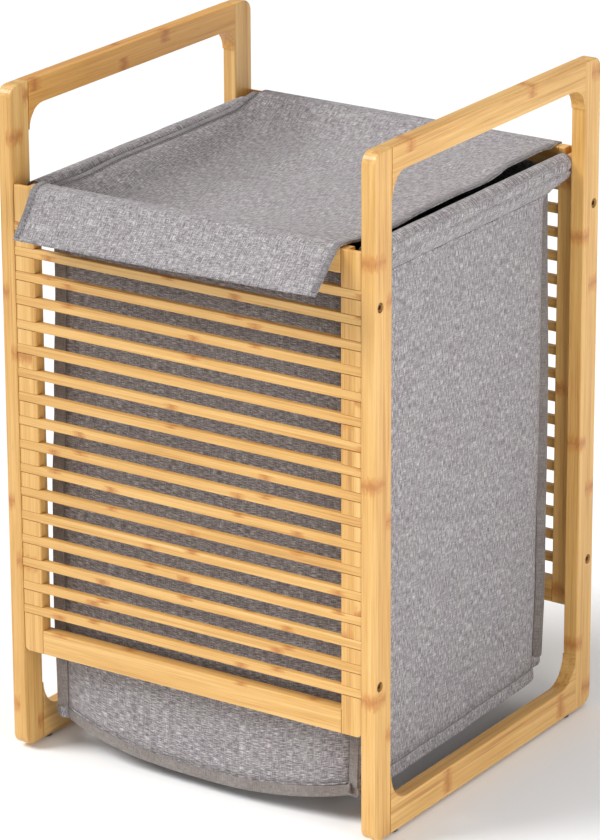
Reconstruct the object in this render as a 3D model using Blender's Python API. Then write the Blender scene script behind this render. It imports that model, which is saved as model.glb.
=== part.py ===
"""Laundry hamper: two bamboo side frames, two slatted panels, a hanging cloth bag and a cloth lid.

Metres, +Z up. The front faces -Y. The origin is the centre of the object's box, on the floor.
"""
import math

import bmesh
import bpy
from mathutils import Matrix, Vector

# ---- driving dimensions ---------------------------------------------------------------------
WIDTH = 0.376           # over the two side frames
DEPTH = 0.358           # over the front and rear posts
HEIGHT = 0.600          # posts, end to end
FLOOR = 0.003           # foot glide height, so the posts start here
GAP = 0.0003            # between pieces that touch

BAR_T = 0.0135          # side frame thickness, across the hamper
POST_W = 0.0255         # post width, front to back
TOP_RAIL_H = 0.0225
BOTTOM_RAIL_H = 0.0265
CORNER_R = 0.0110       # outer corners of the posts
TOP_FILLET_R = 0.0200   # inner corners under the handle
BOTTOM_FILLET_R = 0.0260
FILLET_TIP = 0.0004     # flat left at the thin end of each fillet
EASE = 0.0011           # rounding of the long edges
SLAT_EASE = 0.0008

RECESS = 0.0010         # panel face behind the post face
STILE_W = 0.0198
PANEL_T = 0.0120
PANEL_Z0 = 0.0926       # underside of the panels above the posts' lower ends
PANEL_Z1 = 0.5160       # top of the panels
PANEL_TOP_RAIL_H = 0.0210
PANEL_BOTTOM_RAIL_H = 0.0220
SLAT_COUNT = 17
SLAT_PITCH = 0.02169
SLAT_H = 0.0081
SLAT_T = 0.0062
SLAT_Z0 = 0.1282        # underside of the lowest slat
STILE_CORNER_R = 0.0045

ROD_R = 0.0050
ROD_X = 0.1666
ROD_Z = 0.5070
NOTCH_W = 0.0138
NOTCH_LIP = 0.0030      # wood left in front of the rod's end

SCREW_Z = (0.1397, 0.4698)
SCREW_Y = 0.0082        # screw axis behind the post face
SCREW_HEAD_R = 0.0042
SCREW_HEAD_T = 0.0030
SCREW_SINK = 0.0008     # head face below the wood
SCREW_SHANK_R = 0.0028
SCREW_LENGTH = 0.0265
SCREW_PLAY = 0.0003

GLIDE_R = 0.0055
GLIDE_CHAMFER = 0.0008
GLIDE_Y = 0.0370        # glide centre behind the post face

CLOTH_T = 0.0020        # sewn cloth with its seam allowance
BAG_FRONT = 0.0270      # outer face of the bag's front, behind the post face
BAG_LIP = 0.0110        # how far the mouth leans towards each panel
BAG_CORNER_Z = 0.0310   # bottom of the bag at its corners
BAG_SAG = 0.0190        # how much lower its bottom hangs in the middle
BAG_FOOT_X = 0.1580     # outer face of the sides at the bottom
BAG_BOTTOM_R = 0.0120   # roundness of the front and rear bottom edges
BAG_TOP_Z = 0.5110
SLEEVE_STITCH_Z = 0.4860
SLEEVE_R = ROD_R + GAP + 0.0018

LID_HALF_W = 0.1550
LID_Z = 0.5173          # underside of the lid
LID_FRONT = -0.0020
LID_REAR = 0.3370
LID_AXIS = (0.3385, 0.5200)
FLAP_AXIS = (-0.0026, 0.5183)
FLAP_LENGTH = 0.0480
FLAP_START = 0.0012
FLAP_ANGLE = math.radians(38.0)   # out from hanging straight down

FLAP_REACH = FLAP_AXIS[0] - FLAP_LENGTH * math.sin(FLAP_ANGLE) - CLOTH_T / 2 * math.cos(FLAP_ANGLE)
Y_MIDDLE = (FLAP_REACH + DEPTH) / 2
SHIFT = Vector((0.0, -Y_MIDDLE, FLOOR))

BAMBOO = ("bamboo", (0.78, 0.52, 0.27), 0.45, 0.0)
CLOTH = ("grey_cloth", (0.33, 0.31, 0.30), 0.95, 0.0)
GLIDE_PLASTIC = ("dark_plastic", (0.09, 0.09, 0.09), 0.6, 0.0)


# ---- helpers --------------------------------------------------------------------------------
def clear_scene():
    for obj in list(bpy.data.objects):
        bpy.data.objects.remove(obj, do_unlink=True)


def material(spec):
    name, colour, roughness, metallic = spec
    mat = bpy.data.materials.get(name)
    if mat is None:
        mat = bpy.data.materials.new(name)
        mat.use_nodes = True
        shader = mat.node_tree.nodes["Principled BSDF"]
        shader.inputs["Base Color"].default_value = (*colour, 1.0)
        shader.inputs["Roughness"].default_value = roughness
        shader.inputs["Metallic"].default_value = metallic
    return mat


def add_object(name, bm, spec, pivot=None):
    """Move the mesh into the shared frame and make it an object, its origin on its joint if it has one."""
    bmesh.ops.remove_doubles(bm, verts=bm.verts, dist=1e-6)
    bmesh.ops.recalc_face_normals(bm, faces=bm.faces)
    origin = Vector(pivot) + SHIFT if pivot else Vector((0.0, 0.0, 0.0))
    bmesh.ops.translate(bm, verts=bm.verts, vec=SHIFT - origin)
    mesh = bpy.data.meshes.new(name)
    bm.to_mesh(mesh)
    bm.free()
    mesh.materials.append(material(spec))
    obj = bpy.data.objects.new(name, mesh)
    obj.location = origin
    bpy.context.scene.collection.objects.link(obj)
    return obj


def arc(centre, radius, start, end, steps):
    """Points on an arc, angles in degrees."""
    points = []
    for i in range(steps + 1):
        a = math.radians(start + (end - start) * i / steps)
        points.append((centre[0] + radius * math.cos(a), centre[1] + radius * math.sin(a)))
    return points


def rounded_rect(u0, u1, v0, v1, radius, steps=2):
    """Outline of a bar's section, going anticlockwise."""
    r = radius
    return (arc((u1 - r, v1 - r), r, 0, 90, steps) + arc((u0 + r, v1 - r), r, 90, 180, steps)
            + arc((u0 + r, v0 + r), r, 180, 270, steps) + arc((u1 - r, v0 + r), r, 270, 360, steps))


def place(axis, along, u, v):
    """A point of an outline: (y, z), (x, z) or (x, y) for an extrusion along X, Y or Z."""
    return {"X": (along, u, v), "Y": (u, along, v), "Z": (u, v, along)}[axis]


def add_prism(bm, outline, axis, low, high):
    """Extrude an outline along an axis and close both ends; returns the new vertices."""
    rings = [[bm.verts.new(place(axis, along, u, v)) for u, v in outline] for along in (low, high)]
    count = len(outline)
    for i in range(count):
        j = (i + 1) % count
        bm.faces.new((rings[0][i], rings[0][j], rings[1][j], rings[1][i]))
    bm.faces.new(rings[0])
    bm.faces.new(list(reversed(rings[1])))
    return rings[0] + rings[1]


def ease_edges(bm, test, offset=EASE, segments=2):
    """Round the sharp edges that pass the test."""
    bmesh.ops.recalc_face_normals(bm, faces=bm.faces)
    bm.normal_update()
    sharp = [e for e in bm.edges if e.calc_face_angle(0.0) > math.radians(50) and test(e)]
    bmesh.ops.bevel(bm, geom=sharp, offset=offset, segments=segments, profile=0.5,
                    affect="EDGES", clamp_overlap=True)


def cylinder(bm, axis, centre, radius, low, high, sides=20):
    """A closed cylinder along an axis; centre is given in the plane across it."""
    return add_prism(bm, arc(centre, radius, 0, 360 - 360 / sides, sides - 1), axis, low, high)


def combine(obj, other, operation="DIFFERENCE"):
    """Subtract another object from this one, or unite them, and keep only the result."""
    modifier = obj.modifiers.new("combine", "BOOLEAN")
    modifier.operation = operation
    modifier.solver = "EXACT"
    modifier.object = other
    bpy.context.view_layer.update()
    graph = bpy.context.evaluated_depsgraph_get()
    mesh = bpy.data.meshes.new_from_object(obj.evaluated_get(graph))
    obj.modifiers.remove(modifier)
    obj.data = mesh
    bpy.data.objects.remove(other, do_unlink=True)


def depth_side(front, y):
    """The same place at the front or, mirrored, at the rear."""
    return y if front else DEPTH - y


def ordered(a, b):
    return (a, b) if a < b else (b, a)


# ---- side frames ----------------------------------------------------------------------------
def screw_cutter(side, y):
    """Holes for the two screws that join one post to its panel stile."""
    bm = bmesh.new()
    face = WIDTH / 2
    for z in SCREW_Z:
        low, high = ordered(side * (face + 0.005), side * (face - SCREW_SINK - SCREW_HEAD_T - SCREW_PLAY))
        cylinder(bm, "X", (y, z), SCREW_HEAD_R + SCREW_PLAY, low, high, 24)
    add_object("screw_cutter_head", bm, BAMBOO)
    bm = bmesh.new()
    for z in SCREW_Z:
        low, high = ordered(side * (face - 0.001), side * (face - SCREW_SINK - SCREW_LENGTH - 0.001))
        cylinder(bm, "X", (y, z), SCREW_SHANK_R + SCREW_PLAY, low, high, 16)
    add_object("screw_cutter_shank", bm, BAMBOO)
    return bpy.data.objects["screw_cutter_head"], bpy.data.objects["screw_cutter_shank"]


def side_span(side):
    return ordered(side * (WIDTH / 2 - BAR_T), side * WIDTH / 2)


def build_post(name, side, front):
    """An upright with rounded outer corners, drilled for its two screws."""
    outer, inner = depth_side(front, 0.0), depth_side(front, POST_W)
    r = CORNER_R if front else -CORNER_R
    outline = [(inner, 0.0), (inner, HEIGHT)]
    top = arc((outer + r, HEIGHT - CORNER_R), CORNER_R, 90, 180 if front else 0, 6)
    bottom = arc((outer + r, CORNER_R), CORNER_R, 180 if front else 0, 270 if front else -90, 6)
    outline += top + bottom
    bm = bmesh.new()
    add_prism(bm, outline, "X", *side_span(side))
    ends = {round(v, 6) for v in side_span(side)}
    ease_edges(bm, lambda e: round(e.verts[0].co.x, 6) == round(e.verts[1].co.x, 6) in ends)
    post = add_object(name, bm, BAMBOO)
    for cutter in screw_cutter(side, depth_side(front, SCREW_Y)):
        combine(post, cutter)
    return post


def build_frame_rail(name, side, top):
    """The handle or the foot rail; the inner corner fillets belong to it."""
    y0, y1 = POST_W + GAP, DEPTH - POST_W - GAP
    fillet = TOP_FILLET_R if top else BOTTOM_FILLET_R
    if top:
        outer, inner, turn = HEIGHT, HEIGHT - TOP_RAIL_H, 1
    else:
        outer, inner, turn = 0.0, BOTTOM_RAIL_H, -1
    steps = 8
    first = arc((y0 + FILLET_TIP + fillet, inner - turn * fillet), fillet, 180, 180 - turn * 90, steps)
    last = arc((y1 - FILLET_TIP - fillet, inner - turn * fillet), fillet, turn * 90, 0, steps)
    tip_z = inner - turn * fillet
    outline = [(y0, outer), (y0, tip_z)] + first + last + [(y1, tip_z), (y1, outer)]
    bm = bmesh.new()
    add_prism(bm, outline, "X", *side_span(side))
    clear = 0.004

    def along_rail(edge):
        a, b = (v.co for v in edge.verts)
        same_face = abs(a.x - b.x) < 1e-6
        near_end = min(a.y, b.y) < y0 + clear or max(a.y, b.y) > y1 - clear
        return same_face and (abs(a.z - outer) < 1e-6 and abs(b.z - outer) < 1e-6 or not near_end)

    ease_edges(bm, along_rail)
    return add_object(name, bm, BAMBOO)


def build_side_frame(label, side):
    for front in (True, False):
        build_post(f"{label}_{'front' if front else 'rear'}_post", side, front)
    build_frame_rail(f"{label}_handle_rail", side, True)
    build_frame_rail(f"{label}_foot_rail", side, False)


# ---- slatted panels -------------------------------------------------------------------------
def panel_depth(front, thickness=PANEL_T):
    """Span of a panel member front to back; all members are flush at the outside."""
    return ordered(depth_side(front, RECESS), depth_side(front, RECESS + thickness))


def stile_span(side):
    outer = WIDTH / 2 - BAR_T - GAP
    return ordered(side * outer, side * (outer - STILE_W))


def slat_z(index):
    """Underside of a slat, counted from the top."""
    return SLAT_Z0 + (SLAT_COUNT - 1 - index) * SLAT_PITCH


def slat_housings(side, front):
    """Cutters for the shallow housings across a stile that the slats are let into."""
    x0, x1 = stile_span(side)
    past = 0.002
    low, high = ordered(depth_side(front, RECESS - past), depth_side(front, RECESS + SLAT_T + GAP))
    bm = bmesh.new()
    for i in range(SLAT_COUNT):
        z0, z1 = slat_z(i) - GAP, slat_z(i) + SLAT_H + GAP
        add_prism(bm, [(low, z0), (high, z0), (high, z1), (low, z1)], "X", x0 - past, x1 + past)
    return add_object("housing_cutter", bm, BAMBOO)


def build_stile(name, side, front):
    """A panel upright with a rounded lower corner and an open notch on top for the rod's end."""
    x0, x1 = stile_span(side)
    outer = x1 if side > 0 else x0
    r = STILE_CORNER_R
    foot = arc((outer - side * r, PANEL_Z0 + r), r, 270, 360 if side > 0 else 180, 4)
    inner = x0 if side > 0 else x1
    outline = [(inner, PANEL_Z0)] + foot + [(outer, PANEL_Z1), (inner, PANEL_Z1)]
    bm = bmesh.new()
    low, high = panel_depth(front)
    add_prism(bm, outline, "Y", low, high)
    ease_edges(bm, lambda e: abs(e.verts[0].co.y - e.verts[1].co.y) < 1e-6, offset=0.0009)
    stile = add_object(name, bm, BAMBOO)
    combine(stile, slat_housings(side, front))
    cutter = bmesh.new()
    notch_x = ordered(side * (WIDTH / 2 - BAR_T + 0.002), side * (WIDTH / 2 - BAR_T - NOTCH_W))
    notch_y = ordered(depth_side(front, RECESS + NOTCH_LIP), depth_side(front, RECESS + PANEL_T + 0.002))
    floor = ROD_Z - ROD_R - GAP
    add_prism(cutter, [(notch_x[0], floor), (notch_x[1], floor), (notch_x[1], PANEL_Z1 + 0.005),
                       (notch_x[0], PANEL_Z1 + 0.005)], "Y", *notch_y)
    combine(stile, add_object("notch_cutter", cutter, BAMBOO))
    for shank in screw_cutter(side, depth_side(front, SCREW_Y)):
        combine(stile, shank)
    return stile


def build_panel_bar(name, front, z0, z1, thickness, radius, inset):
    """A rail between the stiles, or a slat that is let into them."""
    half = WIDTH / 2 - BAR_T - GAP - inset
    low, high = panel_depth(front, thickness)
    bm = bmesh.new()
    add_prism(bm, rounded_rect(low, high, z0, z1, radius), "X", -half, half)
    return add_object(name, bm, BAMBOO)


def build_panel(label, front):
    for side, hand in ((-1, "left"), (1, "right")):
        build_stile(f"{label}_{hand}_stile", side, front)
    between = STILE_W + GAP
    for rail, z0, z1 in (("top_rail", PANEL_Z1 - PANEL_TOP_RAIL_H, PANEL_Z1),
                         ("bottom_rail", PANEL_Z0, PANEL_Z0 + PANEL_BOTTOM_RAIL_H)):
        build_panel_bar(f"{label}_{rail}", front, z0, z1, PANEL_T, EASE, between)
    for i in range(SLAT_COUNT):
        z = slat_z(i)
        build_panel_bar(f"{label}_slat_{i + 1:02d}", front, z, z + SLAT_H, SLAT_T, SLAT_EASE, 0.0)


# ---- hardware -------------------------------------------------------------------------------
def build_glide(name, side, front):
    """A round plastic glide under a foot rail."""
    centre = (side * (WIDTH / 2 - BAR_T / 2), depth_side(front, GLIDE_Y))
    bm = bmesh.new()
    sides = 24
    rings = []
    for radius, z in ((GLIDE_R - GLIDE_CHAMFER, -FLOOR), (GLIDE_R, -FLOOR + GLIDE_CHAMFER), (GLIDE_R, -GAP)):
        points = arc(centre, radius, 0, 360 - 360 / sides, sides - 1)
        rings.append([bm.verts.new((u, v, z)) for u, v in points])
    for a, b in zip(rings, rings[1:]):
        for i in range(sides):
            j = (i + 1) % sides
            bm.faces.new((a[i], a[j], b[j], b[i]))
    bm.faces.new(rings[0])
    bm.faces.new(rings[-1])
    return add_object(name, bm, GLIDE_PLASTIC)


# ---- bag ------------------------------------------------------------------------------------
def build_rod(name, side):
    low = RECESS + NOTCH_LIP + GAP
    bm = bmesh.new()
    cylinder(bm, "Y", (side * ROD_X, ROD_Z), ROD_R, low, DEPTH - low, 20)
    add_object(name, bm, BAMBOO, (side * ROD_X, DEPTH / 2, ROD_Z))


def wall_middle(z):
    """Middle of a side wall's thickness, which leans out towards its sleeve."""
    low, high = BAG_FOOT_X - CLOTH_T / 2, ROD_X - 0.0022
    share = (z - BAG_CORNER_Z) / (SLEEVE_STITCH_Z - BAG_CORNER_Z)
    return low + (high - low) * min(1.0, max(0.0, share))


def bag_side(side):
    """A side wall of the bag with the sleeve that the rod passes through."""
    foot, neck = wall_middle(BAG_CORNER_Z), wall_middle(SLEEVE_STITCH_Z)
    half = CLOTH_T / 2
    outline = [(foot + half, BAG_CORNER_Z), (neck + CLOTH_T, SLEEVE_STITCH_Z)]
    outline += arc((ROD_X, ROD_Z), SLEEVE_R, -20, 200, 14)
    outline += [(neck - CLOTH_T, SLEEVE_STITCH_Z), (foot - half, BAG_CORNER_Z)]
    bm = bmesh.new()
    low, high = BAG_FRONT + CLOTH_T / 4, DEPTH - BAG_FRONT - CLOTH_T / 4
    add_prism(bm, [(side * u, v) for u, v in outline], "Y", low, high)
    wall = add_object("bag_side", bm, CLOTH)
    bore = bmesh.new()
    cylinder(bore, "Y", (side * ROD_X, ROD_Z), ROD_R + GAP, low - 0.01, high + 0.01, 20)
    combine(wall, add_object("sleeve_bore", bore, CLOTH))
    return wall


def strip_half_width(z):
    """The front, bottom and back reach to the middle of the side walls, or of the sleeve's cloth."""
    in_sleeve = ROD_X - SLEEVE_R + (SLEEVE_R - ROD_R - GAP) / 2
    return in_sleeve if z > SLEEVE_STITCH_Z else wall_middle(z)


def strip_section(sag):
    """Closed outline of the bag's front, bottom and back, in (y, z), outside first."""
    bottom = BAG_CORNER_Z - sag
    lean_z = SLEEVE_STITCH_Z - 0.012
    r = BAG_BOTTOM_R

    def layer(inset):
        front = BAG_FRONT + inset
        side = [(front - BAG_LIP, BAG_TOP_Z), (front - BAG_LIP / 2, SLEEVE_STITCH_Z + 0.004),
                (front, lean_z), (front, BAG_TOP_Z / 2)]
        side += arc((front + r, bottom + inset + r), r, 180, 270, 4)
        return side + [(DEPTH - y, z) for y, z in reversed(side)]

    return layer(0.0) + list(reversed(layer(CLOTH_T)))


def bag_strip():
    """The bag's front, bottom and back: one strip that hangs in a shallow curve."""
    bm = bmesh.new()
    steps = 8
    rings = []
    for i in range(steps + 1):
        share = -1 + 2 * i / steps
        outline = strip_section(BAG_SAG * (1 - share * share))
        rings.append([bm.verts.new((share * strip_half_width(z), y, z)) for y, z in outline])
    count = len(rings[0])
    for a, b in zip(rings, rings[1:]):
        for i in range(count):
            j = (i + 1) % count
            bm.faces.new((a[i], a[j], b[j], b[i]))
    for ring in (rings[0], rings[-1]):
        for i in range(count // 2 - 1):
            bm.faces.new((ring[i], ring[i + 1], ring[count - 2 - i], ring[count - 1 - i]))
    return add_object("bag", bm, CLOTH)


def build_bag():
    bag = bag_strip()
    for side in (-1, 1):
        combine(bag, bag_side(side), "UNION")


def build_lid():
    bm = bmesh.new()
    add_prism(bm, rounded_rect(LID_FRONT, LID_REAR, LID_Z, LID_Z + CLOTH_T, 0.0006, 1),
              "X", -LID_HALF_W, LID_HALF_W)
    add_object("lid_panel", bm, CLOTH, (0.0, *LID_AXIS))


def build_lid_flap():
    """The stiffened flap that stands off the front panel."""
    bm = bmesh.new()
    outline = rounded_rect(-CLOTH_T / 2, CLOTH_T / 2, -FLAP_LENGTH, -FLAP_START, 0.0006, 1)
    verts = add_prism(bm, outline, "X", -LID_HALF_W, LID_HALF_W)
    bmesh.ops.rotate(bm, verts=verts, cent=(0, 0, 0), matrix=Matrix.Rotation(-FLAP_ANGLE, 3, "X"))
    bmesh.ops.translate(bm, verts=verts, vec=(0.0, *FLAP_AXIS))
    add_object("lid_front_flap", bm, CLOTH, (0.0, *FLAP_AXIS))


def main():
    clear_scene()
    build_side_frame("left", -1)
    build_side_frame("right", 1)
    build_panel("front", True)
    build_panel("rear", False)
    for side, hand in ((-1, "left"), (1, "right")):
        build_glide(f"{hand}_front_glide", side, True)
        build_glide(f"{hand}_rear_glide", side, False)
        build_rod(f"{hand}_rod", side)
    build_bag()
    build_lid()
    build_lid_flap()


main()
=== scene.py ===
"""Looks of the laundry hamper: lacquered bamboo, a sewn melange cloth bag on two rods, and its cloth lid."""

import math

import bmesh
import bpy
from mathutils import Euler, Matrix, Vector, noise


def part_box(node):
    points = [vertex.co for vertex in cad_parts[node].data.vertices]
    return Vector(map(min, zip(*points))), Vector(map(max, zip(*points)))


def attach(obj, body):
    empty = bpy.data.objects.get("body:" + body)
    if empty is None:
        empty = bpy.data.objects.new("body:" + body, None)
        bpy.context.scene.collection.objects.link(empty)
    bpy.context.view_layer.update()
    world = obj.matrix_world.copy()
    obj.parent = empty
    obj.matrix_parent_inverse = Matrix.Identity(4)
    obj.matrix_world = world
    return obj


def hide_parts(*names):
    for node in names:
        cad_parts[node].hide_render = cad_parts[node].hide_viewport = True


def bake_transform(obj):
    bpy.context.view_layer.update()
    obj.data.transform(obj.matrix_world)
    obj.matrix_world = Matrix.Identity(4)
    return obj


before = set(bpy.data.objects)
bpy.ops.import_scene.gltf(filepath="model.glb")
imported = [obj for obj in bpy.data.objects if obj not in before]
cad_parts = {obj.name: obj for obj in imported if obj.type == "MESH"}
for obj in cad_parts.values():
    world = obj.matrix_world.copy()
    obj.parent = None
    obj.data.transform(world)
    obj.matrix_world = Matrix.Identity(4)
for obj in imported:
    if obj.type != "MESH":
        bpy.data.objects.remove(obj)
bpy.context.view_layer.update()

# ---- places taken from the frame ------------------------------------------------------------
POST_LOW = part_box("left_front_post")[0]
RAIL_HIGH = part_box("front_top_rail")[1]
REAR_RAIL_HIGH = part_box("rear_top_rail")[1]
ROD_LOW, ROD_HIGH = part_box("right_rod")
LID_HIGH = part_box("lid_panel")[1]
RIGHT_POST_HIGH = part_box("right_front_post")[1]
REAR_POST_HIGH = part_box("right_rear_post")[1]

Y_FRONT = POST_LOW.y                     # the posts' front faces
Y_REAR = REAR_POST_HIGH.y
Z_BASE = POST_LOW.z                      # the posts' lower ends
DEPTH = Y_REAR - Y_FRONT
ROD_X = (ROD_LOW.x + ROD_HIGH.x) / 2
ROD_Z = (ROD_LOW.z + ROD_HIGH.z) / 2
ROD_R = (ROD_HIGH.z - ROD_LOW.z) / 2
MM = 0.001


def at(x, y, z):
    """A place from millimetres across, behind the posts' front faces and above their lower ends."""
    return Vector((x * MM, Y_FRONT + y * MM, Z_BASE + z * MM))


def mm_behind(y):
    return (y - Y_FRONT) / MM


def mm_above(z):
    return (z - Z_BASE) / MM


def clamp(value, low=0.0, high=1.0):
    return max(low, min(high, value))


def smooth(value):
    value = clamp(value)
    return value * value * (3 - 2 * value)


def mix(a, b, share):
    return a + (b - a) * share


def through(points, value):
    """Smooth interpolation through (key, value) pairs with rising keys."""
    if value <= points[0][0]:
        return points[0][1]
    for (k0, v0), (k1, v1) in zip(points, points[1:]):
        if value <= k1:
            return mix(v0, v1, smooth((value - k0) / (k1 - k0)))
    return points[-1][1]


# ---- materials ------------------------------------------------------------------------------
class Graph:
    """Short spelling for shader nodes."""

    def __init__(self, name):
        self.material = bpy.data.materials.new(name)
        self.material.use_nodes = True
        self.tree = self.material.node_tree
        self.shader = self.tree.nodes["Principled BSDF"]

    def put(self, node_input, value):
        if isinstance(value, bpy.types.NodeSocket):
            self.tree.links.new(value, node_input)
        else:
            node_input.default_value = value

    def math(self, operation, a, b=0.0, c=None):
        node = self.tree.nodes.new("ShaderNodeMath")
        node.operation = operation
        self.put(node.inputs[0], a)
        self.put(node.inputs[1], b)
        if c is not None:
            self.put(node.inputs[2], c)
        return node.outputs[0]

    def vector(self, x, y, z=0.0):
        node = self.tree.nodes.new("ShaderNodeCombineXYZ")
        for socket, value in zip(node.inputs, (x, y, z)):
            self.put(socket, value)
        return node.outputs[0]

    def coordinates(self, output):
        node = self.tree.nodes.new("ShaderNodeTexCoord")
        split = self.tree.nodes.new("ShaderNodeSeparateXYZ")
        self.tree.links.new(node.outputs[output], split.inputs[0])
        return split.outputs

    def noise(self, vector, detail=2.0, roughness=0.5):
        node = self.tree.nodes.new("ShaderNodeTexNoise")
        self.put(node.inputs["Vector"], vector)
        node.inputs["Scale"].default_value = 1.0
        node.inputs["Detail"].default_value = detail
        node.inputs["Roughness"].default_value = roughness
        return node.outputs["Fac"]

    def random(self, vector):
        node = self.tree.nodes.new("ShaderNodeTexWhiteNoise")
        self.put(node.inputs["Vector"], vector)
        return node.outputs["Value"]

    def remap(self, value, low, high, to_low=0.0, to_high=1.0, steps="SMOOTHSTEP"):
        node = self.tree.nodes.new("ShaderNodeMapRange")
        node.interpolation_type = steps
        for socket, number in zip(node.inputs[:5], (value, low, high, to_low, to_high)):
            self.put(socket, number)
        return node.outputs[0]

    def ramp(self, value, stops):
        node = self.tree.nodes.new("ShaderNodeValToRGB")
        self.put(node.inputs[0], value)
        elements = node.color_ramp.elements
        while len(elements) < len(stops):
            elements.new(0.5)
        for element, (place, colour) in zip(elements, stops):
            element.position = place
            element.color = (*colour, 1.0)
        return node.outputs[0]

    def blend(self, factor, a, b, kind="MIX"):
        node = self.tree.nodes.new("ShaderNodeMix")
        node.data_type = "RGBA"
        node.blend_type = kind
        self.put(node.inputs[0], factor)
        for socket, colour in ((node.inputs[6], a), (node.inputs[7], b)):
            self.put(socket, colour if isinstance(colour, bpy.types.NodeSocket) else (*colour, 1.0))
        return node.outputs[2]

    def bump(self, height, strength, distance):
        node = self.tree.nodes.new("ShaderNodeBump")
        node.inputs["Strength"].default_value = strength
        node.inputs["Distance"].default_value = distance
        self.put(node.inputs["Height"], height)
        self.put(self.shader.inputs["Normal"], node.outputs[0])

    def set(self, **values):
        for name, value in values.items():
            self.put(self.shader.inputs[name.replace("_", " ").title().replace("Ior", "IOR")], value)


STRIP = 0.0068          # width of the bamboo strips that the bars are glued from
BAR = 0.0217            # width over which neighbouring strips share their knots
KNOT_STEP = 0.19        # mean distance between knots
PAINTED_SHADE_TINT = (0.97, 0.84, 0.60)        # painted shade: a darker tint for the left handle rail, standing in for the shade on its inner side


def bamboo(name, grain, seed, tint=(1.0, 1.0, 1.0)):
    """Laminated bamboo whose fibres run along one axis of the frame."""
    g = Graph(name)
    red, green, blue = tint
    axes = g.coordinates("Object")
    along = axes[grain]
    v, w = (axes[i] for i in range(3) if i != grain)
    cell_v = g.math("FLOOR", g.math("MULTIPLY_ADD", v, 1 / STRIP, 0.37 + seed))
    cell_w = g.math("FLOOR", g.math("MULTIPLY_ADD", w, 1 / STRIP, 0.13 + seed))
    strip = g.random(g.vector(cell_v, cell_w, seed))
    shifted = g.math("MULTIPLY_ADD", strip, 3.7, along)
    fibre = g.noise(g.vector(g.math("MULTIPLY", shifted, 16), g.math("MULTIPLY", v, 1100),
                             g.math("MULTIPLY", w, 1100)), 3.0, 0.6)
    streak = g.noise(g.vector(g.math("MULTIPLY", shifted, 6), g.math("MULTIPLY", v, 240),
                              g.math("MULTIPLY", w, 240)), 2.0)
    cloud = g.noise(g.vector(g.math("MULTIPLY", along, 9), g.math("MULTIPLY", v, 30),
                             g.math("MULTIPLY", w, 30)), 2.0)
    tone_sum = g.math("ADD", g.math("MULTIPLY", fibre, 0.42), g.math("MULTIPLY", streak, 0.38))
    tone_sum = g.math("ADD", tone_sum, g.math("MULTIPLY", cloud, 0.2))
    tone_sum = g.math("MULTIPLY_ADD", g.math("SUBTRACT", tone_sum, 0.5), 1.45, 0.5)
    tone_sum = g.math("MULTIPLY_ADD", g.math("SUBTRACT", strip, 0.5), 0.17, tone_sum)
    colour = g.ramp(tone_sum, [
        (0.26, (0.47 * red, 0.222 * green, 0.052 * blue)),
        (0.44, (0.638 * red, 0.352 * green, 0.098 * blue)),
        (0.58, (0.710 * red, 0.418 * green, 0.132 * blue)),
        (0.78, (0.79 * red, 0.515 * green, 0.200 * blue)),
    ])
    fuzz = g.noise(g.vector(g.math("MULTIPLY", along, 150), g.math("MULTIPLY", v, 420),
                            g.math("MULTIPLY", w, 420)), 2.0)
    bar_v = g.math("FLOOR", g.math("MULTIPLY_ADD", v, 1 / BAR, 0.31 + seed))
    bar_w = g.math("FLOOR", g.math("MULTIPLY_ADD", w, 1 / BAR, 0.71 + seed))
    place = g.random(g.vector(bar_v, bar_w, seed + 2.5))
    turns = g.math("FRACT", g.math("ADD", g.math("MULTIPLY", along, 1 / KNOT_STEP), g.math("MULTIPLY", place, 5.3)))
    distance = g.math("MULTIPLY", g.math("ABSOLUTE", g.math("SUBTRACT", turns, 0.5)), KNOT_STEP)
    distance = g.math("ADD", distance, g.math("MULTIPLY", g.math("SUBTRACT", fuzz, 0.5), 0.012))
    knot = g.remap(distance, 0.0030, 0.0100, 1.0, 0.0)
    present = g.math("GREATER_THAN", g.random(g.vector(bar_w, bar_v, seed + 4.5)), 0.35)
    knot = g.math("MULTIPLY", knot, g.math("MULTIPLY", present, g.remap(strip, 0.0, 1.0, 0.55, 0.85, "LINEAR")))
    colour = g.blend(knot, colour, (0.54 * red, 0.225 * green, 0.046 * blue))
    line = g.math("MULTIPLY", g.remap(distance, 0.0010, 0.0030, 0.45, 0.0), present)
    colour = g.blend(line, colour, (0.38 * red, 0.140 * green, 0.035 * blue))
    pores = g.noise(g.vector(g.math("MULTIPLY", shifted, 55), g.math("MULTIPLY", v, 1900),
                             g.math("MULTIPLY", w, 1900)), 1.0)
    colour = g.blend(g.remap(pores, 0.64, 0.74, 0.0, 0.32), colour, (0.42 * red, 0.20 * green, 0.07 * blue))
    g.put(g.shader.inputs["Base Color"], colour)
    g.put(g.shader.inputs["Roughness"], g.remap(fibre, 0.3, 0.7, 0.50, 0.36, "LINEAR"))
    g.set(coat_weight=0.18, coat_roughness=0.32)
    g.bump(g.math("ADD", g.math("MULTIPLY", fibre, 0.7), g.math("MULTIPLY", pores, -0.3)), 0.25, 0.0003)
    return g.material


YARN_SHARE = 0.62       # how much of the cloth's tone comes from its two sets of yarns
YARN_PITCH = 0.0011     # period of the weave's relief


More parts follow.
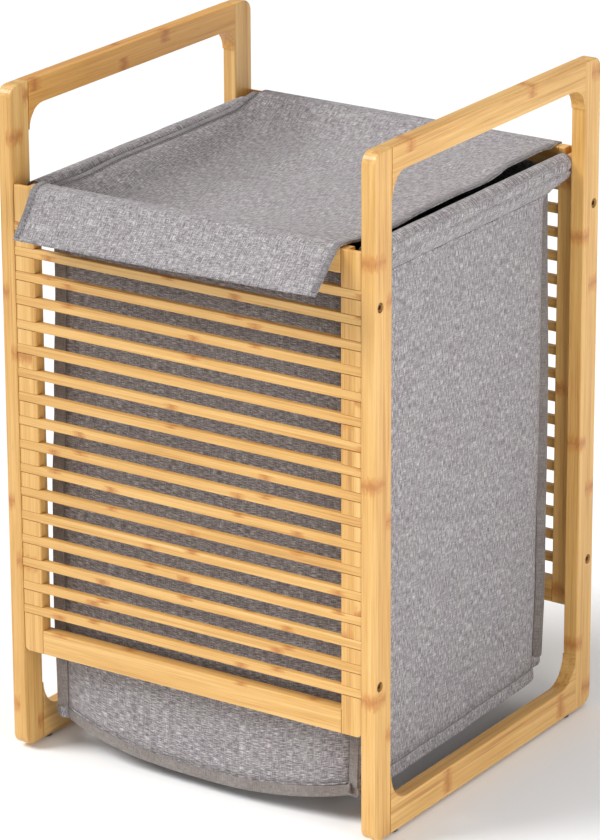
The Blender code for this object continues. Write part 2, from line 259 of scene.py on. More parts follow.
def cloth(name, light=1.0, contrast=1.0, seed=0.0, tint=(1.0, 1.0, 1.0), weft_share=0.5):
    """Melange canvas: light and dark yarns crossing, with slubs; the UV map is in metres."""
    g = Graph(name)
    u, v, _ = g.coordinates("UV")
    u = g.math("ADD", u, seed)
    red, green, blue = (light * share for share in tint)

    def yarn(across, along, high, low, detail):
        vector = g.vector(g.math("MULTIPLY", across, high), g.math("MULTIPLY", along, low), seed)
        return g.noise(vector, detail, 0.55)

    weft = yarn(v, u, 1450, 150, 2.0)
    warp = yarn(u, v, 1450, 150, 2.0)
    speck = g.noise(g.vector(g.math("MULTIPLY", u, 1700), g.math("MULTIPLY", v, 1700), seed), 1.0)
    slub = yarn(v, u, 420, 26, 1.0)
    slub_up = yarn(u, v, 420, 26, 1.0)
    cloud = g.noise(g.vector(g.math("MULTIPLY", u, 34), g.math("MULTIPLY", v, 34), seed), 3.0)
    total = g.math("ADD", g.math("MULTIPLY", weft, YARN_SHARE * weft_share),
                   g.math("MULTIPLY", warp, YARN_SHARE * (1 - weft_share)))
    total = g.math("ADD", total, g.math("MULTIPLY", speck, 0.20))
    total = g.math("ADD", total, g.math("MULTIPLY", g.math("ADD", slub, slub_up), 0.05))
    total = g.math("MULTIPLY_ADD", g.math("SUBTRACT", total, 0.5), 3.7 * contrast, 0.5)
    colour = g.ramp(total, [
        (0.10, (0.105 * red, 0.098 * green, 0.100 * blue)),
        (0.42, (0.235 * red, 0.222 * green, 0.224 * blue)),
        (0.62, (0.345 * red, 0.330 * green, 0.334 * blue)),
        (0.92, (0.560 * red, 0.545 * green, 0.552 * blue)),
    ])
    colour = g.blend(g.remap(cloud, 0.35, 0.65, 0.0, 0.5), colour,
                     (0.30 * red, 0.275 * green, 0.305 * blue), "SOFT_LIGHT")
    g.put(g.shader.inputs["Base Color"], colour)
    g.set(roughness=0.92, sheen_weight=0.12, sheen_roughness=0.5)
    threads = 2 * math.pi / YARN_PITCH
    over = g.math("MULTIPLY", g.math("SINE", g.math("MULTIPLY", u, threads)),
                  g.math("SINE", g.math("MULTIPLY", v, threads)))
    height = g.math("ADD", g.math("MULTIPLY", over, 0.25), g.math("MULTIPLY", total, 0.75))
    g.bump(height, 0.5, 0.0005)
    return g.material


def metal(name):
    """Bronzed steel with a trace of tool marks."""
    g = Graph(name)
    x, y, z = g.coordinates("Object")
    marks = g.noise(g.vector(g.math("MULTIPLY", x, 900), g.math("MULTIPLY", y, 2400),
                             g.math("MULTIPLY", z, 2400)), 2.0)
    colour = g.ramp(marks, [(0.3, (0.16, 0.085, 0.035)), (0.7, (0.46, 0.28, 0.12))])
    g.put(g.shader.inputs["Base Color"], colour)
    g.put(g.shader.inputs["Roughness"], g.remap(marks, 0.3, 0.7, 0.28, 0.45, "LINEAR"))
    g.set(metallic=1.0)
    g.bump(marks, 0.15, 0.0002)
    return g.material


def plastic(name):
    """Dark moulded glide with a fine matte grain."""
    g = Graph(name)
    x, y, z = g.coordinates("Object")
    grain = g.noise(g.vector(g.math("MULTIPLY", x, 2600), g.math("MULTIPLY", y, 2600),
                             g.math("MULTIPLY", z, 2600)), 2.0)
    g.put(g.shader.inputs["Base Color"], g.ramp(grain, [(0.3, (0.035, 0.036, 0.040)), (0.7, (0.075, 0.076, 0.082))]))
    g.set(roughness=0.62)
    g.bump(grain, 0.2, 0.0002)
    return g.material


# painted light: the side and lid copies of the one cloth are made lighter (1.48 and 1.50 against 1.42) to make up for
# how light falls on those faces; their weft shares follow the weave's direction
CLOTH = cloth("melange_cloth", 1.42, 1.15, 0.0, weft_share=0.72)
CLOTH_SIDE_PAINTED_LIGHT = cloth("melange_cloth_side_painted_light", 1.48, 1.2, 1.0, weft_share=0.32)
CLOTH_LID_PAINTED_LIGHT = cloth("melange_cloth_lid_painted_light", 1.50, 1.1, 3.0, weft_share=0.45)
CLOTH_FOLD = cloth("melange_cloth_fold", 0.98, 0.8, 4.0)
CLOTH_HEM = cloth("melange_cloth_hem", 1.02, 0.5, 7.0, (1.0, 0.945, 0.87))
# painted shade: the sleeve's stitching thread is coloured very dark, so that it also draws the shadowed groove under
# the sleeve's lower edge
SHADE_DARK_THREAD = cloth("dark_thread_painted_shade", 0.20, 0.3, 5.0)
PALE_THREAD = cloth("pale_thread", 2.3, 0.3, 6.0, (1.0, 0.98, 0.95))
BRONZE = metal("bronzed_steel")


def dress_frame():
    """Give every bamboo node its grain direction, and the glides their plastic."""
    woods = {}
    glide = plastic("glide_plastic")
    for name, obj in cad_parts.items():
        if "glide" in name:
            material = glide
        else:
            low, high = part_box(name)
            size = high - low
            grain = max(range(3), key=lambda i: size[i])
            seed = {"left": 1.0, "right": 2.0, "front": 3.0, "rear": 4.0}.get(name.split("_")[0], 0.0)
            if name.split("_")[0] in ("front", "rear") and grain == 2:
                seed += 5.0
            # painted shade: the left handle rail gets its own bamboo material, darkened by the painted-shade tint
            key = "left_handle" if name == "left_handle_rail" else f"{'xyz'[grain]}_{int(seed)}"
            if key not in woods:
                tint = PAINTED_SHADE_TINT if key == "left_handle" else (1.0, 1.0, 1.0)
                woods[key] = bamboo(f"bamboo_{key}", grain, seed, tint)
            material = woods[key]
        for slot in obj.material_slots:
            slot.material = material


# ---- cloth building -------------------------------------------------------------------------
def ticks(low, high, step):
    count = max(1, round(abs(high - low) / step))
    return [mix(low, high, i / count) for i in range(count + 1)]


def normal_at(surface, u, v):
    e = 0.4
    a = surface(u + e, v) - surface(u - e, v)
    b = surface(u, v + e) - surface(u, v - e)
    n = a.cross(b)
    return n.normalized() if n.length > 0 else Vector((0, 0, 1))


def sheet_object(name, surface, us, vs, material, thickness, lift=0.0, offset=-1.0, flip=False):
    """A cloth grid over a surface in millimetres; u and v also give the weave's UV map in metres."""
    verts = []
    for v in vs:
        for u in us:
            p = surface(u, v)
            if lift:
                n = normal_at(surface, u, v)
                p = p + n * (lift * MM * (-1 if flip else 1))
            verts.append(p)
    columns = len(us)
    faces = []
    for j in range(len(vs) - 1):
        for i in range(columns - 1):
            a = j * columns + i
            quad = (a, a + 1, a + columns + 1, a + columns)
            faces.append(tuple(reversed(quad)) if flip else quad)
    mesh = bpy.data.meshes.new(name)
    mesh.from_pydata([tuple(p) for p in verts], [], faces)
    uv = mesh.uv_layers.new(name="UVMap")
    for loop in mesh.loops:
        index = loop.vertex_index
        uv.data[loop.index].uv = (us[index % columns] * MM, vs[index // columns] * MM)
    mesh.polygons.foreach_set("use_smooth", [True] * len(mesh.polygons))
    mesh.materials.append(material)
    obj = bpy.data.objects.new(name, mesh)
    bpy.context.scene.collection.objects.link(obj)
    solid = obj.modifiers.new("thickness", "SOLIDIFY")
    solid.thickness = thickness * MM
    solid.offset = offset
    solid.use_even_offset = False
    return obj


def stitch_line(name, surface, path, lift=0.5, stitch=2.6, pitch=3.8, radius=0.32, flip=False, thread=None):
    """Short rounded stitches along a path of (u, v) places on a surface."""
    bm = bmesh.new()
    points = [surface(u, v) + normal_at(surface, u, v) * (lift * MM * (-1 if flip else 1)) for u, v in path]
    lengths = [0.0]
    for a, b in zip(points, points[1:]):
        lengths.append(lengths[-1] + (b - a).length)

    def along(distance):
        for (l0, p0), (l1, p1) in zip(zip(lengths, points), zip(lengths[1:], points[1:])):
            if distance <= l1:
                return p0.lerp(p1, (distance - l0) / max(l1 - l0, 1e-9))
        return points[-1]

    start = pitch * MM * 0.5
    while start + stitch * MM < lengths[-1]:
        a, b = along(start), along(start + stitch * MM)
        add_stitch(bm, a, b, radius * MM)
        start += pitch * MM
    mesh = bpy.data.meshes.new(name)
    bm.to_mesh(mesh)
    bm.free()
    mesh.polygons.foreach_set("use_smooth", [True] * len(mesh.polygons))
    mesh.materials.append(thread or SHADE_DARK_THREAD)
    obj = bpy.data.objects.new(name, mesh)
    bpy.context.scene.collection.objects.link(obj)
    return obj


def add_stitch(bm, a, b, radius):
    """One stitch: a closed six-sided spindle from a to b."""
    direction = (b - a).normalized()
    side = direction.cross(Vector((0.31, 0.54, 0.78))).normalized()
    other = direction.cross(side)
    sides = 6
    rings = []
    for share, size in ((0.12, 0.7), (0.5, 1.0), (0.88, 0.7)):
        centre = a.lerp(b, share)
        rings.append([bm.verts.new(centre + (side * math.cos(t) + other * math.sin(t)) * radius * size)
                      for t in (2 * math.pi * k / sides for k in range(sides))])
    tips = (bm.verts.new(a), bm.verts.new(b))
    for first, second in zip(rings, rings[1:]):
        for k in range(sides):
            j = (k + 1) % sides
            bm.faces.new((first[k], first[j], second[j], second[k]))
    for k in range(sides):
        j = (k + 1) % sides
        bm.faces.new((tips[0], rings[0][j], rings[0][k]))
        bm.faces.new((tips[1], rings[-1][k], rings[-1][j]))


def ruffle(x, y, z, scale, seed=0.0):
    """Smooth noise of about -1 to 1, in millimetres of scale."""
    return noise.noise(Vector((x / scale + seed * 7.1, y / scale - seed * 3.3, z / scale + seed)))


# ---- the bag --------------------------------------------------------------------------------
BAG_TOP = 511.0
STITCH_Z = 486.0
SEAM_W = 10.5           # seam allowance that stands out as a flat edge
HALF_W = 147.0          # half the front's and back's cut width
WALL_DROP = 478.0       # the front's and back's run from the mouth to the bottom seam
SIDE_RUN = 304.0        # a side's run from its front seam to its rear one
SIDE_FOOT = 40.0        # height of a side's bottom seam
SLEEVE_FOOT = STITCH_Z - SIDE_FOOT      # a side's run from its bottom seam up to the sleeve's stitching
SLEEVE_RISE = 14        # from the stitching up to where the sleeve meets the rod
SLEEVE_BACK = 16        # from the rod back down to the stitching
SLEEVE_GAP = 1.9        # the sleeve's radius beyond the rod's
SLEEVE_R = 6.9          # the sleeve's nominal radius around the rod
SLEEVE_EASE = 1.02      # slack of the sleeve around the rod
SIDE_TOP = SLEEVE_FOOT + SLEEVE_RISE + math.pi * SLEEVE_R * SLEEVE_EASE + SLEEVE_BACK
CORNER_FRONT = [(26, 147.0), (138, 148.0), (231, 147.5), (323, 142.5), (445, 139.0), (511, 139.0)]
CORNER_REAR = [(26, 143.0), (120, 145.5), (300, 146.0), (471, 143.0), (511, 143.0)]
FRONT_CORNER_Y, REAR_CORNER_Y = 26.0, DEPTH / MM - 27.0


def corner_x(front, z):
    return through(CORNER_FRONT if front else CORNER_REAR, z)


def front_wall(s, t):
    """The bag's front: s runs across from its middle, t from the mouth down to the bottom seam."""
    share = s / HALF_W
    drop = t / WALL_DROP
    low = front_seam_z(s) + SEAM_W
    z = mix(BAG_TOP - 8 * abs(share) ** 3, low, drop)
    x = share * corner_x(True, z)
    mid = through([(15, 15.8), (45, 17.0), (110, 21.0), (230, 26.5), (455, 26.0), (511, 17.0)], z)
    y = mix(mid, FRONT_CORNER_Y, abs(share) ** 3)
    y += (1 - abs(share) ** 4) * 1.2 * ruffle(s, 0, z * 0.6, 70.0, 1.0)
    return at(x, max(y, 15.6), z)


def front_seam_z(s):
    """Lower edge of the front's bottom seam allowance."""
    return 7.5 + 17.5 * abs(s / HALF_W) ** 2.4


def rear_wall(s, t):
    """The bag's back, which rises to the lid's seam."""
    share = s / HALF_W
    drop = t / WALL_DROP
    low = 32.0 - 12.0 * (1 - abs(share) ** 2.4) + SEAM_W
    mouth = through([(0, BAG_TOP), (98, BAG_TOP), (116, 504.0), (147, 503.0)], abs(s))
    z = mix(mouth, low, drop)
    x = share * corner_x(False, z)
    mid = through([(20, 339.0), (110, 336.0), (230, 331.5), (455, 331.5), (511, 337.5)], z)
    y = mix(mid, REAR_CORNER_Y, abs(share) ** 3)
    y += (1 - abs(share) ** 4) * 1.2 * ruffle(s, 50, z * 0.6, 70.0, 2.0)
    return at(x, min(y, DEPTH / MM - 15.6), z)


def side_wall(side):
    """A side with its sleeve: r runs front to rear, t from the bottom seam up, over the rod and back down."""
    rod_x, rod_z = ROD_X / MM, mm_above(ROD_Z)
    radius = ROD_R / MM + SLEEVE_GAP
    length = SLEEVE_FOOT

    def loop(t):
        """The section above the stitching, around the rod."""
        steps = [(0, (rod_x - 1.6, STITCH_Z)), (7, (rod_x + 3.4, 492.5)), (SLEEVE_RISE, (rod_x + 6.7, 501.0))]
        around = SLEEVE_RISE + math.pi * radius * SLEEVE_EASE
        if t <= SLEEVE_RISE:
            for (t0, p0), (t1, p1) in zip(steps, steps[1:]):
                if t <= t1:
                    k = (t - t0) / (t1 - t0)
                    return mix(p0[0], p1[0], k), mix(p0[1], p1[1], k)
        if t <= around:
            angle = mix(-0.9, math.pi + 0.5, (t - SLEEVE_RISE) / (around - SLEEVE_RISE))
            return rod_x + radius * math.cos(angle), rod_z + radius * math.sin(angle)
        k = clamp((t - around) / SLEEVE_BACK)
        end = rod_x + radius * math.cos(math.pi + 0.5), rod_z + radius * math.sin(math.pi + 0.5)
        return mix(end[0], rod_x - 3.0, k), mix(end[1], STITCH_Z + 0.5, k)

    def surface(r, t):
        share = clamp(r / SIDE_RUN)
        if t <= length:
            lift = mix(-4.0, 2.0, share) * (1 - t / length) + 1.5 * (1 - math.sin(math.pi * share)) * (1 - t / length)
            z = SIDE_FOOT + t + lift
            open_out = smooth((z - (STITCH_Z - 10)) / 10)
            x = through([(36, 158.5), (140, 161.0), (330, 163.6), (486, rod_x - 1.6)], z)
            pull = 1.0 - 0.75 * open_out
        else:
            x, z = loop(t - length)
            open_out = 1.0
            pull = 0.25 * clamp(1 - (t - length) / 10)
        front, rear = FRONT_CORNER_Y - 5.5 * open_out, REAR_CORNER_Y + 3.0 * open_out
        y = mix(front, rear, share)
        for place, is_front in ((share, True), (1 - share, False)):
            depth = place * (rear - front)
            x -= (x - corner_x(is_front, z)) * math.exp(-(depth / 17.0) ** 2) * pull
        mid = math.sin(math.pi * share)
        if t < length:
            fade = mid * smooth((length - t) / 40)
            x += fade * (2.0 * ruffle(0, y * 0.8, z * 0.35, 60.0, 3.0 + side)
                         + 0.7 * ruffle(0, y, z * 0.5, 22.0, 5.0 + side))
            x += 0.9 * math.sin(y * 0.145 + side) * mid * math.exp(-(length - t) / 26.0)
            x -= 1.3 * math.exp(-(length - t) / 3.0)
        else:
            x += 0.25 * ruffle(0, y, z, 16.0, 6.0) * mid
            z += 0.5 * ruffle(0, y, 0, 30.0, 8.0 + side) * mid
        x = min(x, rod_x + radius)
        return at(side * x, y, z)

    return surface


def bottom_panel(s, d):
    """The bag's bottom: s across, d from front to rear, sagging between its seams."""
    share_s, share_d = s / HALF_W, d / SIDE_RUN
    front, rear = front_wall(s, WALL_DROP), rear_wall(s, WALL_DROP)
    p = front.lerp(rear, share_d)
    p.z -= 0.004 * math.sin(math.pi * share_d) * (1 - abs(share_s) ** 4)
    edge = side_wall(1 if s > 0 else -1)(d, 0.0)
    k = abs(share_s) ** 6
    return p.lerp(Vector((edge.x, p.y, edge.z)), k)


def edge_strip(name, start, outward, length, material=None, width=SEAM_W, thickness=2.0, round_end=True):
    """A seam allowance: a flat strip that grows from a seam line along a direction, with rounded ends."""
    vs = [0.0, width * 0.12, width * 0.5, width * 0.88, width]
    us = [0.0, 0.8, 2.2] + ticks(4.6, length - 4.6, 6.0) + [length - 2.2, length - 0.8, length]
    rounded = width * 0.45

    def shape(u, v):
        near = min(u, length - u) if round_end else u
        cut = rounded - math.sqrt(max(0.0, rounded ** 2 - max(0.0, rounded - near) ** 2))
        return start(u) + outward(u) * (v * (1 - cut / width) * MM)

    obj = sheet_object(name, shape, us, vs, material or CLOTH_HEM, thickness, 0.0, 0.0)
    soften = obj.modifiers.new("edge", "BEVEL")
    soften.width = thickness * 0.4 * MM
    soften.segments = 2
    return obj


def build_bag():
    """Sewn bag: five panels, outward seam allowances, sleeves and stitching."""
    pieces = []
    wall_us = ticks(-HALF_W, HALF_W, 7.0)
    wall_vs = ticks(0.0, WALL_DROP, 8.0)
    front = sheet_object("bag_front_cloth", front_wall, wall_us, wall_vs, CLOTH, 1.0, flip=True)
    rear = sheet_object("bag_back_cloth", rear_wall, wall_us, wall_vs, CLOTH, 1.0, flip=False)
    pieces += [front, rear]
    for side, hand in ((-1, "left"), (1, "right")):
        surface = side_wall(side)
        ts = ticks(0.0, 436.0, 9.0) + ticks(438.0, SLEEVE_FOOT, 2.0) + ticks(447.5, SIDE_TOP, 1.5)
        panel = sheet_object(f"bag_{hand}_side_cloth", surface, ticks(0.0, SIDE_RUN, 5.0), ts, CLOTH_SIDE_PAINTED_LIGHT, 1.0,
                             flip=side < 0)
        pieces.append(panel)
        hem = sheet_object(f"sleeve_{hand}_hem", surface, ticks(-0.3, 304.3, 5.0),
                           ticks(444.5, SLEEVE_FOOT, 1.5) + ticks(448.0, SIDE_TOP - SLEEVE_RISE, 1.6), CLOTH_SIDE_PAINTED_LIGHT,
                           1.0, 0.95, 0.0, flip=side < 0)
        pieces.append(hem)
        # the sleeve's stitches sit under its lower edge; their dark thread is real stitching coloured as painted
        # shade of the groove there
        path = [(r, 443.9) for r in ticks(1.0, 303.0, 4.0)]
        pieces.append(stitch_line(f"sleeve_{hand}_stitches", surface, path, 0.55, 3.3, 3.8, 0.42, flip=side < 0))
        for is_front, place in ((True, "front"), (False, "rear")):
            pieces.append(corner_seam(side, hand, is_front, place))
        pieces.append(side_bottom_seam(side, hand))
    bottom = sheet_object("bag_bottom_cloth", bottom_panel, wall_us, ticks(0.0, SIDE_RUN, 8.0), CLOTH, 1.0,
                          flip=True)
    pieces.append(bottom)
    for is_front, place in ((True, "front"), (False, "rear")):
        pieces.append(end_bottom_seam(is_front, place))
        pieces.append(mouth_hem(is_front, place))
    for piece in pieces:
        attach(piece, "bag")
    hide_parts("bag")


def corner_seam(side, hand, is_front, place):
    """The upright seam allowance at one corner, from under the sleeve down to the bottom seam."""
    wall = front_wall if is_front else rear_wall
    top, past = 24.0, 1.0

    def start(u):
        return wall(side * HALF_W, top + u)

    def outward(u):
        wave = 0.10 * math.sin(u * 0.035 + side + (0 if is_front else 2))
        return Vector((side, (-0.25 if is_front else 0.8) + wave, 0)).normalized()

    width = SEAM_W if is_front else SEAM_W - 2
    return edge_strip(f"bag_{place}_{hand}_seam", start, outward, WALL_DROP + past - top, None,
                      width, round_end=not is_front)


def end_bottom_seam(is_front, place):
    """The seam allowance along the bottom of the front or back; it hangs down."""
    wall = front_wall if is_front else rear_wall
    back = 0.10 if is_front else -0.10
    over = SEAM_W if is_front else 0.5

    def start(u):
        s = u - HALF_W - over
        past = max(0.0, abs(s) - HALF_W) * MM
        forward = -0.25 * past if is_front else 0.0
        return wall(clamp(s, -HALF_W, HALF_W), WALL_DROP) + Vector((math.copysign(past, s), forward, 0))

    def outward(u):
        return Vector((0, back, -1)).normalized()

    return edge_strip(f"bag_{place}_bottom_seam", start, outward, 2 * (HALF_W + over))


SIDE_OVER = 7.0         # how far a side's bottom seam allowance runs past its corners
SIDE_SEAM = SIDE_RUN + 2 * SIDE_OVER


def side_bottom_seam(side, hand):
    surface = side_wall(side)

    def start(u):
        r = u - SIDE_OVER
        past = r - clamp(r, 0.0, SIDE_RUN)
        return surface(clamp(r, 0.0, SIDE_RUN), 0.0) + Vector((side * abs(past) * 0.4 * MM, past * MM, 0))

    def outward(u):
        return Vector((side * 0.12, 0, -1)).normalized()

    return edge_strip(f"bag_{hand}_bottom_seam", start, outward, SIDE_SEAM, CLOTH_SIDE_PAINTED_LIGHT)


def mouth_hem(is_front, place):
    """The turned hem along the mouth."""
    wall = front_wall if is_front else rear_wall
    return sheet_object(f"bag_{place}_mouth_hem", wall, ticks(-HALF_W, HALF_W, 7.0), ticks(0.0, 18.0, 4.5),
                        CLOTH_HEM, 0.9, 0.7, 0.0, flip=is_front)


# ---- the lid --------------------------------------------------------------------------------
LID_END = mm_behind(LID_HIGH.y) + 5.0       # the lid's rear edge, on the band that covers the rear rail
RAIL_TOP = mm_above(RAIL_HIGH.z)
RAIL_BACK = mm_behind(RAIL_HIGH.y)
REAR_FACE = mm_behind(REAR_RAIL_HIGH.y)
LID_FOLD = 4.0                      # where the lid starts to bend over the front rail
FOLD_R = 11.0
LID_FLAT = LID_END - LID_FOLD
FLAP_DROP = 42.0
LEFT_EDGE_X = [(-40, -165.5), (-4, -151.5), (30, -154.5), (80, -156.5), (330, -159.5)]
RIGHT_EDGE_X = [(-40, 154.5), (-4, 153.8), (30, 157.0), (80, 158.5), (225, 158.0), (262, 155.5), (330, 153.6),
                (357, 150.5)]
LEFT_EDGE_Z = [(4, 518.2), (12, 516.5), (34, 511.0), (70, 509.0), (130, 511.5), (212, 511.0), (300, 512.0),
               (340, 518.8)]
RIGHT_EDGE_Z = [(4, 518.4), (40, 516.5), (76, 515.6), (120, 517.6), (170, 518.0), (219, 517.0), (240, 518.2),
                (262, 520.4), (310, 520.0), (340, 518.8)]
LID_SAG = 18.0
LID_T = 1.2
LID_HEM = 5.5           # width of the hem turned along each side


def lid_top(share, y):
    """Height of the lid between its fold and its rear edge; share runs from 0 at the left edge to 1 at the right."""
    z = mix(through(LEFT_EDGE_Z, y), through(RIGHT_EDGE_Z, y), smooth(share * 0.6) / smooth(0.6))
    z = mix(z, RAIL_TOP + 2.8, math.exp(-max(0.0, LID_END - 3 - y) / 8.0))
    on_rail = 1 - smooth((y - RAIL_BACK + 2) / 12.0)
    z = mix(z, RAIL_TOP + 2.4, on_rail)
    lengthwise = clamp(y / LID_END)
    slope_width = 0.055 + 0.105 * math.sin(math.pi * lengthwise)
    across = smooth(share / slope_width) * smooth((1 - share) / 0.72)
    along = (1 - math.exp(-max(0.0, y - RAIL_BACK) / 17.0)) * (1 - math.exp(-max(0.0, LID_END - 3 - y) / 26.0))
    z -= LID_SAG * across * along
    x = share * LID_WIDTH
    z += along * across * (1.5 * ruffle(x, y, 0, 80.0, 4.0) + 0.5 * ruffle(x, y, 0, 27.0, 9.0))
    return z


def lid_surface(u, v):
    """The lid's outer face: u from 0 at the left to 1 at the right, v from its rear edge forward, down the flap."""
    lean = math.radians(mix(24.0, 48.0, u))
    if v <= LID_FLAT:
        y = LID_END - v
        z = lid_top(u, y)
    else:
        bend = math.pi / 2 - lean
        s = v - LID_FLAT
        turn = clamp(s / (FOLD_R * bend)) * bend
        rest = max(0.0, s - FOLD_R * bend)
        y = LID_FOLD - FOLD_R * math.sin(turn) - rest * math.cos(bend)
        z = lid_top(u, LID_FOLD) - FOLD_R * (1 - math.cos(turn)) - rest * math.sin(bend)
        y += 0.9 * rest / FLAP_DROP * ruffle(u * LID_WIDTH, 0, 0, 60.0, 11.0)
    x = mix(through(LEFT_EDGE_X, y), through(RIGHT_EDGE_X, y), u)
    return at(x, y, z)


LID_LENGTH = LID_FLAT + FOLD_R * 0.95 + FLAP_DROP
LID_WIDTH = 312.0


def lid_sheet(name, us, vs, material, thickness, lift=0.0, offset=-1.0):
    """A piece of cloth on the lid's surface; us are millimetres from the left edge."""
    def surface(u, v):
        return lid_surface(u / LID_WIDTH, v)
    return sheet_object(name, surface, us, vs, material, thickness, lift, offset, flip=True)


def build_lid():
    """Lid and flap are one cloth that bends at the fold, with a narrow hem turned along each side."""
    us = ticks(0.0, LID_WIDTH, 5.0)
    vs = ticks(0.0, 20.0, 2.5) + ticks(24.0, LID_FLAT - 12, 5.0) + ticks(LID_FLAT - 10, LID_FLAT + 16, 2.0)
    vs += ticks(LID_FLAT + 19, LID_LENGTH, 3.0)
    lid = lid_sheet("lid_cloth", us, vs, CLOTH_LID_PAINTED_LIGHT, LID_T)
    pieces = [lid]
    hem = LID_HEM

    def surface(u, v):
        return lid_surface(u / LID_WIDTH, v)

    for side, hand in ((-1, "left"), (1, "right")):
        band = ticks(-0.4, hem, 2.0) if side < 0 else ticks(LID_WIDTH - hem, LID_WIDTH + 0.4, 2.0)
        pieces.append(lid_sheet(f"lid_{hand}_hem", band, vs[1:-1], CLOTH_FOLD, 0.8, 0.45, 0.0))
        line = hem + 0.2 if side < 0 else LID_WIDTH - hem - 0.2
        path = [(line, v) for v in ticks(3.0, LID_LENGTH - 2, 3.0)]
        pieces.append(stitch_line(f"lid_{hand}_stitches", surface, path, 0.35, flip=True, thread=PALE_THREAD))
    for piece in pieces:
        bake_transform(piece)
    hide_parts("lid_panel", "lid_front_flap")
    build_lid_hinge()


BAND_HEM = 22.0        # how far the rear band hangs behind the rear rail
BAND_TURN = 2.0
BAND_TUCK = 10.0       # how far it reaches under the lid
BAND_OVER = REAR_FACE - LID_END + 1     # how far it lies flat on the rear rail


def rear_band(u, v):
    """The band that joins the lid to the bag: from under the lid's rear edge, over the rear rail and down behind."""
    share = u / LID_WIDTH
    level = RAIL_TOP + 1.35
    quarter = BAND_TURN * math.pi / 2
    if v <= BAND_TUCK:
        y = LID_END - 1 - BAND_TUCK + v
        z = lid_top(share, y) - LID_T - 0.25
    else:
        y = LID_END - 1 + min(v - BAND_TUCK, BAND_OVER)
        z = level
    if v > BAND_TUCK + BAND_OVER:
        turn = clamp((v - BAND_TUCK - BAND_OVER) / quarter) * math.pi / 2
        y += BAND_TURN * math.sin(turn)
        z -= BAND_TURN * (1 - math.cos(turn)) + max(0.0, v - BAND_TUCK - BAND_OVER - quarter)
    x = mix(through(LEFT_EDGE_X, y), through(RIGHT_EDGE_X, y), share)
    return at(x, y, z)


def build_lid_hinge():
    length = BAND_TUCK + BAND_OVER + BAND_TURN * math.pi / 2 + BAND_HEM
    us = ticks(0.5, LID_WIDTH - 0.5, 6.0)
    vs = ticks(0.0, BAND_TUCK + BAND_OVER, 1.6) + ticks(BAND_TUCK + BAND_OVER + 0.7, BAND_TUCK + BAND_OVER + 4, 0.8)
    vs += ticks(BAND_TUCK + BAND_OVER + 6, length, 3.0)
    band = sheet_object("lid_rear_band", rear_band, us, vs, CLOTH_LID_PAINTED_LIGHT, 1.0)
    path = [(u, length - 5.0) for u in us]
    stitches = stitch_line("lid_rear_band_stitches", rear_band, path, 0.1, thread=PALE_THREAD)
    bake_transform(band)
    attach(stitches, "bag")


# ---- screws ---------------------------------------------------------------------------------
SCREW_SINK, HEAD_R, HEAD_T, SHANK_R, SCREW_LONG = 0.8, 4.2, 3.0, 2.8, 26.5
SOCKET_R, SOCKET_DEEP = 2.3, 1.9
SCREW_HEIGHTS = (139.7, 469.8)
SCREW_BEHIND = 8.2


def build_screws():
    """Button-head socket screws in the posts' counterbores."""
    number = 0
    face = RIGHT_POST_HIGH.x / MM
    for side in (-1, 1):
        for y in (SCREW_BEHIND, DEPTH / MM - SCREW_BEHIND):
            for z in SCREW_HEIGHTS:
                number += 1
                screw = screw_object(f"frame_screw_{number}", side, face, y, z)
                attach(screw, "root")


def screw_object(name, side, face, y, z):
    bm = bmesh.new()
    sides, corners = 36, 6
    top = face - SCREW_SINK
    profile = [(top - 0.05, SOCKET_R + 0.35), (top, HEAD_R - 1.3), (top - 0.25, HEAD_R - 0.5), (top - 0.8, HEAD_R),
               (top - HEAD_T, HEAD_R), (top - HEAD_T, SHANK_R), (top - SCREW_LONG, SHANK_R),
               (top - SCREW_LONG - 1.0, SHANK_R - 1.0)]

    def ring(x, radius, count, turn=0.0):
        return [bm.verts.new(at(side * x, y + radius * math.cos(a), z + radius * math.sin(a)))
                for a in (2 * math.pi * k / count + turn for k in range(count))]

    rings = [ring(x, radius, sides) for x, radius in profile]
    for a, b in zip(rings, rings[1:]):
        for k in range(sides):
            j = (k + 1) % sides
            bm.faces.new((a[k], a[j], b[j], b[k]))
    bm.faces.new(rings[-1])
    socket = [ring(x, SOCKET_R, corners) for x in (top - 0.1, top - SOCKET_DEEP)]
    step = sides // corners
    for k in range(corners):
        j = (k + 1) % corners
        edge = [rings[0][(k * step + n) % sides] for n in range(step + 1)]
        bm.faces.new(edge + [socket[0][j], socket[0][k]])
        bm.faces.new((socket[0][k], socket[0][j], socket[1][j], socket[1][k]))
    bm.faces.new(socket[1])
    bmesh.ops.recalc_face_normals(bm, faces=bm.faces)
    mesh = bpy.data.meshes.new(name)
    bm.to_mesh(mesh)
    bm.free()
    mesh.materials.append(BRONZE)
    obj = bpy.data.objects.new(name, mesh)
    bpy.context.scene.collection.objects.link(obj)
    return obj


# ---- stage ----------------------------------------------------------------------------------
CAMERA_PLACE = (1989.3, -2807.0, 1582.6)    # millimetres, as at() takes them
CAMERA_TURN = 33.72                         # degrees to the right of the front
CAMERA_DIP = 18.44
CAMERA_ROLL = -0.26
CAMERA_LENS = 188.21
CAMERA_SHIFT = -0.131
FLOOR_HALF = 12.0       # metres
WORLD_LIGHT = 0.40


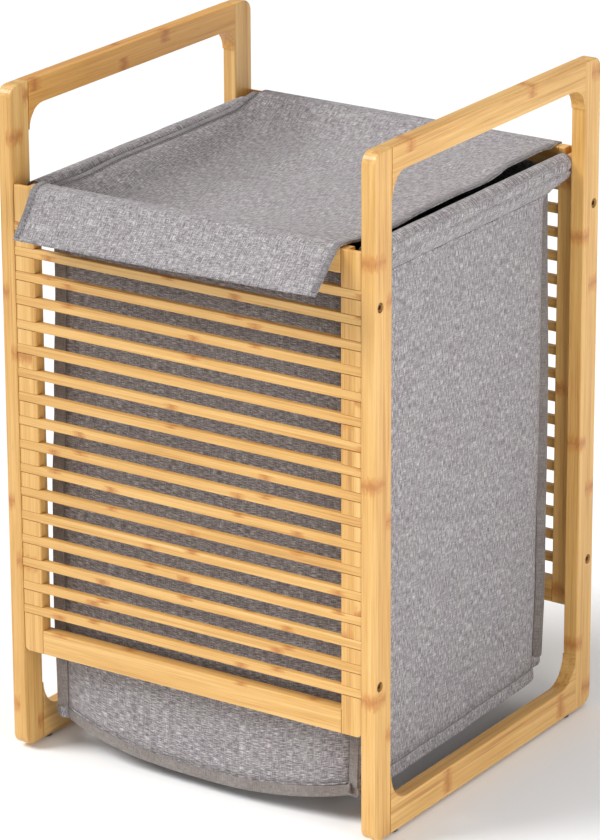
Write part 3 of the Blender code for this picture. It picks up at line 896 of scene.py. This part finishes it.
def build_stage():
    bpy.context.scene.view_settings.view_transform = "Standard"
    floor = bpy.data.meshes.new("floor")
    half = FLOOR_HALF
    floor.from_pydata([(-half, -half, 0), (half, -half, 0), (half, half, 0), (-half, half, 0)], [], [(0, 1, 2, 3)])
    g = Graph("pale_floor")
    x, y, _ = g.coordinates("Object")
    cloud = g.noise(g.vector(g.math("MULTIPLY", x, 2.0), g.math("MULTIPLY", y, 2.0)), 2.0)
    g.put(g.shader.inputs["Base Color"], g.ramp(cloud, [(0.3, (0.95, 0.95, 0.95)), (0.7, (0.97, 0.97, 0.97))]))
    g.set(roughness=0.9)
    floor.materials.append(g.material)
    plane = bpy.data.objects.new("floor", floor)
    bpy.context.scene.collection.objects.link(plane)

    world = bpy.data.worlds.new("studio")
    world.use_nodes = True
    world.node_tree.nodes["Background"].inputs[0].default_value = (1.0, 1.0, 1.0, 1.0)
    world.node_tree.nodes["Background"].inputs[1].default_value = WORLD_LIGHT
    bpy.context.scene.world = world
    add_sun("key", azimuth=-52.0, elevation=44.0, softness=30.0, power=2.85)
    add_area("right_fill", (1.35, -0.55, 0.55), 0.9, 9.8)
    add_area("top", (0.2, 0.6, 3.2), 2.4, 14.0)

    camera = bpy.data.cameras.new("camera")
    camera.lens = CAMERA_LENS
    camera.sensor_width = 36.0
    camera.shift_y = CAMERA_SHIFT
    camera.clip_end = 100.0
    obj = bpy.data.objects.new("camera", camera)
    obj.location = at(*CAMERA_PLACE)
    aim = Euler((math.radians(90 - CAMERA_DIP), 0.0, math.radians(CAMERA_TURN))).to_matrix()
    obj.rotation_euler = (aim @ Matrix.Rotation(math.radians(CAMERA_ROLL), 3, "Z")).to_euler()
    bpy.context.scene.collection.objects.link(obj)
    bpy.context.scene.camera = obj


def add_sun(name, azimuth, elevation, softness, power):
    """A soft distant light; azimuth is measured from the front, positive to the right."""
    light = bpy.data.lights.new(name, "SUN")
    light.energy = power
    light.angle = math.radians(softness)
    obj = bpy.data.objects.new(name, light)
    a, e = math.radians(azimuth), math.radians(elevation)
    aim = -Vector((math.sin(a) * math.cos(e), -math.cos(a) * math.cos(e), math.sin(e)))
    obj.rotation_euler = aim.to_track_quat("-Z", "Y").to_euler()
    bpy.context.scene.collection.objects.link(obj)


def add_area(name, place, size, power):
    light = bpy.data.lights.new(name, "AREA")
    light.size = size
    light.energy = power
    obj = bpy.data.objects.new(name, light)
    obj.location = place
    aim = Vector((0, 0, 0.3)) - Vector(place)
    obj.rotation_euler = aim.to_track_quat("-Z", "Y").to_euler()
    bpy.context.scene.collection.objects.link(obj)


dress_frame()
build_bag()
build_lid()
build_screws()
build_stage()
